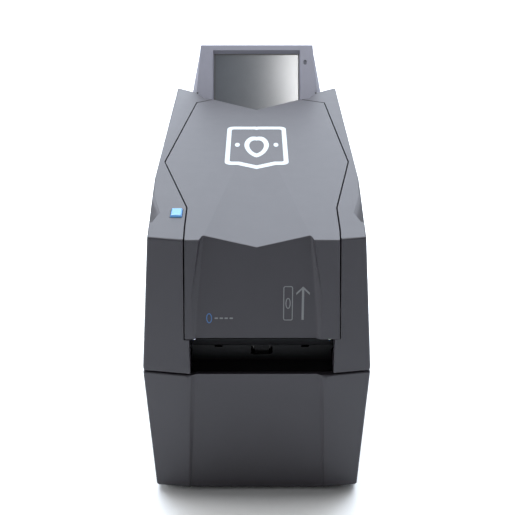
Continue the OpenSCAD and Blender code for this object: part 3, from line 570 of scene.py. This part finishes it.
def screw_heads(name, places, radius, height):
    """Round screw heads with a cross recess, whose axes point along y out of the back."""
    heads, cross = bmesh.new(), bmesh.new()
    for place in places:
        turned(heads, Vector(place), Vector((0, 1, 0)), radius, height, DOME)
        top = Matrix.Translation(Vector(place) + Vector((0, height, 0)))
        for x, z in ((CROSS_LONG, CROSS_WIDE), (CROSS_WIDE, CROSS_LONG)):
            size = Matrix.Diagonal((x * radius, CROSS_DEEP * height, z * radius, 1))
            bmesh.ops.create_cube(cross, size=1.0, matrix=top @ size)
    piece = new_piece(name, heads)
    cut(piece, new_piece("cross", cross), "DIFFERENCE", overlapping=True)
    smooth(piece, 40)
    settle(piece, "chassis", "bright_steel")


PANEL_INSET = 7 * MM              # screws of the back panel from its edges
INLET_SPAN, INLET_DROP = 11.6 * MM, 4.6 * MM    # inlet screws from its middle and below its top
panel_low, panel_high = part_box("rear_panel")
inlet_low, inlet_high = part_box("power_inlet")
inlet_mid = (inlet_low.x + inlet_high.x) / 2
panel_places = [(x, panel_high.y, z) for x in (panel_low.x + PANEL_INSET, panel_high.x - PANEL_INSET)
                for z in (panel_low.z + PANEL_INSET, panel_high.z - PANEL_INSET)]
inlet_places = [(inlet_mid + side * INLET_SPAN, inlet_high.y, inlet_high.z - INLET_DROP) for side in (-1, 1)]
screw_heads("panel_screws", panel_places, 2.6 * MM, 1.3 * MM)
screw_heads("inlet_screws", inlet_places, 1.5 * MM, 0.7 * MM)



# ---- finishes of the pieces that keep their CAD shape ----

for node_name, node in nodes.items():
    dress(node, SLOTS[slot_of[node_name]])


# ---- camera, light and floor ----

CAMERA_BACK = 394.5 * MM          # in front of the machine's front face
CAMERA_UP = 364.3 * MM
CAMERA_DOWN = 26.0                # degrees
CAMERA_YAW = -0.065               # degrees
LENS = 55.22                      # focal length in millimetres on a sensor 36 mm wide

camera = bpy.data.objects.new("camera", bpy.data.cameras.new("camera"))
camera.data.lens = LENS
camera.data.sensor_width = 36.0
camera.location = (0, FRONT - CAMERA_BACK, CAMERA_UP)
camera.rotation_euler = (math.radians(90 - CAMERA_DOWN), 0, math.radians(CAMERA_YAW))
bpy.context.scene.collection.objects.link(camera)
bpy.context.scene.camera = camera
bpy.context.scene.view_settings.view_transform = "Standard"


def softbox(name, place, target, size, radiance, color=(1, 1, 1)):
    """Rectangular light of a given radiance that faces a target."""
    data = bpy.data.lights.new(name, "AREA")
    data.shape = "RECTANGLE"
    data.size, data.size_y = size
    data.energy = radiance * math.pi * size[0] * size[1]
    data.color = color
    light = bpy.data.objects.new(name, data)
    light.location = place
    light.rotation_euler = (Vector(target) - Vector(place)).to_track_quat("-Z", "Y").to_euler()
    light.visible_camera = False
    bpy.context.scene.collection.objects.link(light)
    return light


COOL = (0.84, 0.91, 1)
BODY = (0, 0.05, 0.15)            # middle of the machine, where most lights point
softbox("back_light", (0, 2.1, 1.2), (0, 0.1, 0.3), (4.6, 1.7), 3.6, COOL)
softbox("upper_light", (0, 0.95, 2.2), BODY, (2.8, 1.2), 9.5, COOL)
softbox("top_light", (0, 0.1, 1.8), (0, 0.1, 0), (1.6, 0.4), 10.0)
softbox("left_light", (-1.7, 0.1, 0.6), BODY, (1.8, 0.9), 3.6)
softbox("right_light", (1.7, 0.1, 0.6), BODY, (1.8, 0.9), 0.6)
# Small narrow light that the picture panel mirrors towards the camera
screen_light = softbox("screen_light", (0.165, -0.646, 1.003), (0.03, 0.114, 0.207), (0.2, 0.3), 0.66)
screen_light.data.spread = math.radians(24)

world = bpy.data.worlds.new("studio")
bpy.context.scene.world = world
world.use_nodes = True
sky = world.node_tree
seen = put(sky, "ShaderNodeLightPath").outputs["Is Camera Ray"]
glow = sky.nodes["Background"]
glow.inputs["Color"].default_value = (0.96, 0.98, 1, 1)
sky.links.new(spread(sky, seen, 0.08, 1.0, 0, 1), glow.inputs["Strength"])

floor_mesh = bmesh.new()
bmesh.ops.create_grid(floor_mesh, x_segments=1, y_segments=1, size=6.0)
floor = new_piece("floor", floor_mesh)
paper = finish("floor_paper", (0.93, 0.94, 0.95), 0.75, grain=1 * MM, depth=0.002 * MM, mottle=0.005)
paper_tree = paper.node_tree
paper_bsdf = paper_tree.nodes["Principled BSDF"]
paper_place = put(paper_tree, "ShaderNodeTexCoord").outputs["Object"]
away = put(paper_tree, "ShaderNodeVectorMath", {"operation": "LENGTH"})
paper_tree.links.new(paper_place, away.inputs[0])
# The paper glows a little far from the machine, as if lit studio walls went on all round
haze = spread(paper_tree, away.outputs["Value"], 0.0, 0.9, 1.5, 2.8)
paper_tree.links.new(haze, paper_bsdf.inputs["Emission Strength"])
paper_bsdf.inputs["Emission Color"].default_value = (1, 1, 1, 1)
dress(floor, paper)
